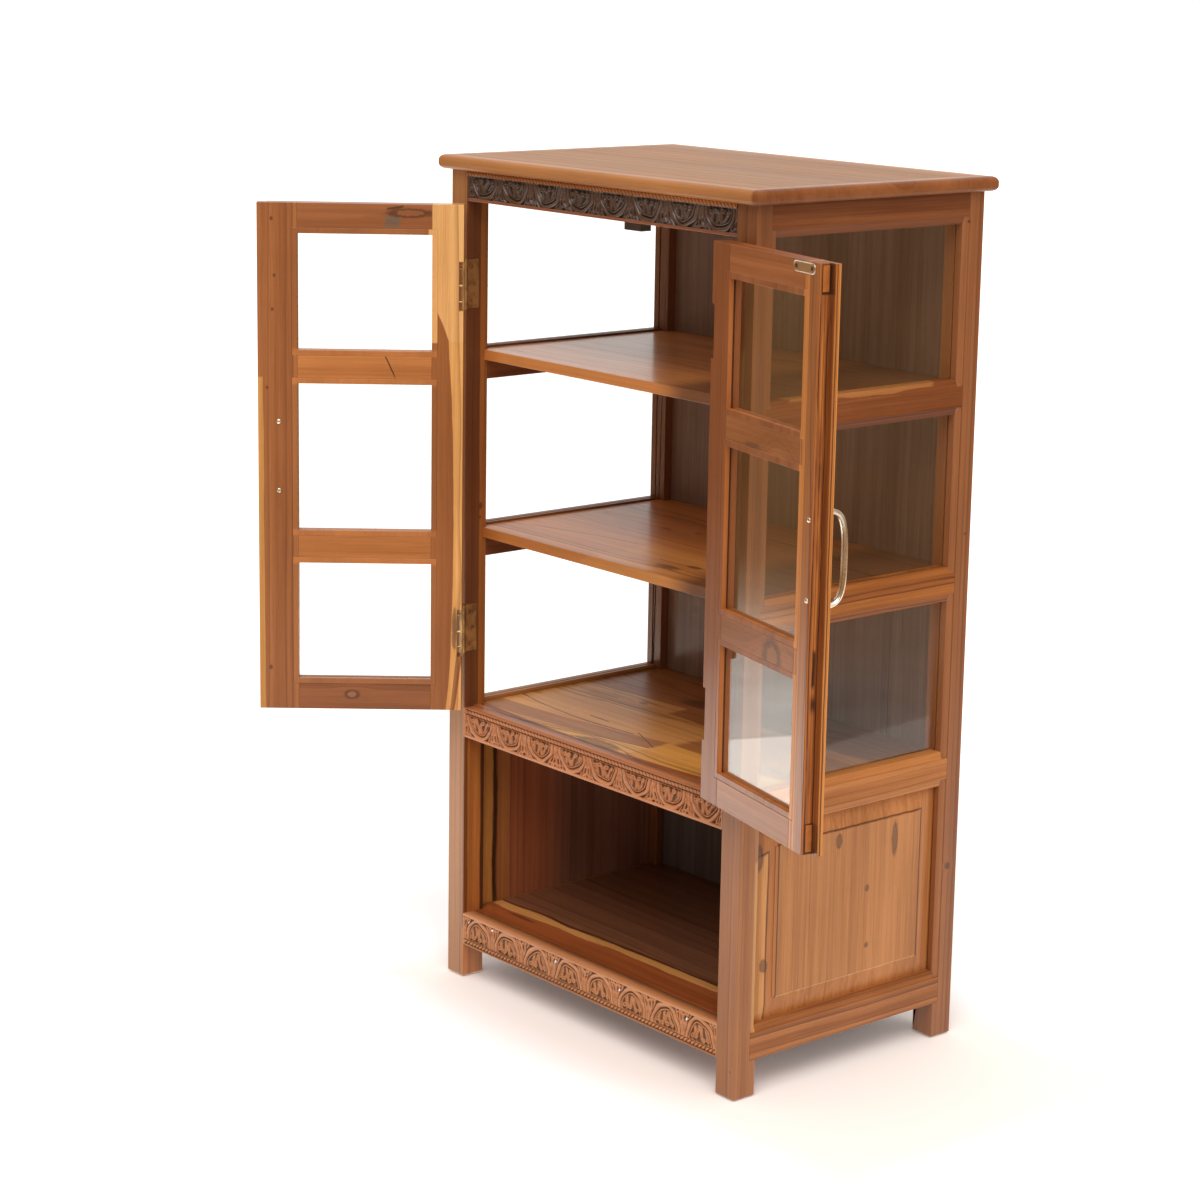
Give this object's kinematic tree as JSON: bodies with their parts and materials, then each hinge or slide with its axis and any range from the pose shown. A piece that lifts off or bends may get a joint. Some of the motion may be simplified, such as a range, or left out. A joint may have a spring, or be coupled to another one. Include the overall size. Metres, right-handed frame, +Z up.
{
  "type": "glazed book cabinet",
  "caption": "Tall wooden book cabinet with hinged glazed doors, glazed sides, shelves, carved friezes and an open lower compartment.",
  "frame": {"origin": "on the floor, under the middle of the carcass footprint", "axes": "+Z up, -Y out of the front of the cabinet, +X towards its right side seen from the front; doors at rest in the open pose of the picture"},
  "size_m": [1.0217, 0.6782, 1.22],
  "materials": {
    "oiled_teak": "satin varnish over warm brown wood",
    "carved_wood": "satin varnish over carving",
    "dark_carved_wood": "dark stained, glossy varnish over carving",
    "clear_glass": "clear, polished",
    "aged_brass": "aged, slightly dull",
    "bright_steel": "polished, lightly worn",
    "catch_case": "dark brown paint"
  },
  "bodies": {
    "carcass": {"front_left_post": "oiled_teak", "front_right_post": "oiled_teak", "back_left_post": "oiled_teak", "back_right_post": "oiled_teak", "top_panel": "oiled_teak", "top_edging": "oiled_teak", "top_bead_strip": "carved_wood", "top_frieze": "dark_carved_wood", "middle_frieze": "carved_wood", "bottom_frieze": "carved_wood", "side_glass": "clear_glass", "left_side_panel": "oiled_teak", "right_side_panel": "oiled_teak", "back_rails": "oiled_teak", "back_boards": "oiled_teak", "upper_shelf": "oiled_teak", "lower_shelf": "oiled_teak", "shelf_cleats": "oiled_teak", "middle_board": "oiled_teak", "bottom_board": "oiled_teak", "catch_body": "catch_case", "catch_screws": "aged_brass", "post_hinge_leaves": "aged_brass", "hinge_pins": "aged_brass", "post_hinge_screws": "aged_brass", "top_dowels": "oiled_teak", "left_top_rail": "oiled_teak", "left_upper_rail": "oiled_teak", "left_lower_rail": "oiled_teak", "left_panel_rail": "oiled_teak", "left_bottom_rail": "oiled_teak", "right_top_rail": "oiled_teak", "right_upper_rail": "oiled_teak", "right_lower_rail": "oiled_teak", "right_panel_rail": "oiled_teak", "right_bottom_rail": "oiled_teak"},
    "left_door": {"left_door_hinge_stile": "oiled_teak", "left_door_meeting_stile": "oiled_teak", "left_door_top_rail": "oiled_teak", "left_door_middle_rails": "oiled_teak", "left_door_bottom_rail": "oiled_teak", "left_door_glass": "clear_glass", "left_door_beads": "oiled_teak", "left_door_handle": "bright_steel", "left_door_handle_screws": "bright_steel", "left_door_hinge_leaves": "aged_brass", "left_door_hinge_screws": "aged_brass"},
    "right_door": {"right_door_hinge_stile": "oiled_teak", "right_door_meeting_stile": "oiled_teak", "right_door_top_rail": "oiled_teak", "right_door_middle_rails": "oiled_teak", "right_door_bottom_rail": "oiled_teak", "right_door_glass": "clear_glass", "right_door_beads": "oiled_teak", "right_door_handle": "bright_steel", "right_door_handle_screws": "bright_steel", "right_door_hinge_leaves": "aged_brass", "right_door_hinge_screws": "aged_brass", "strike_plate": "aged_brass", "strike_screws": "aged_brass"}
  },
  "joints": [
    {"name": "left_door_hinge", "type": "hinge", "parent": "carcass", "child": "left_door", "pos_m": [-0.281, -0.213, 0.7875], "axis": [0, 0, 1], "range_deg": [-46, 129]},
    {"name": "right_door_hinge", "type": "hinge", "parent": "carcass", "child": "right_door", "pos_m": [0.281, -0.213, 0.7875], "axis": [0, 0, 1], "range_deg": [-166, 9]}
  ]
}
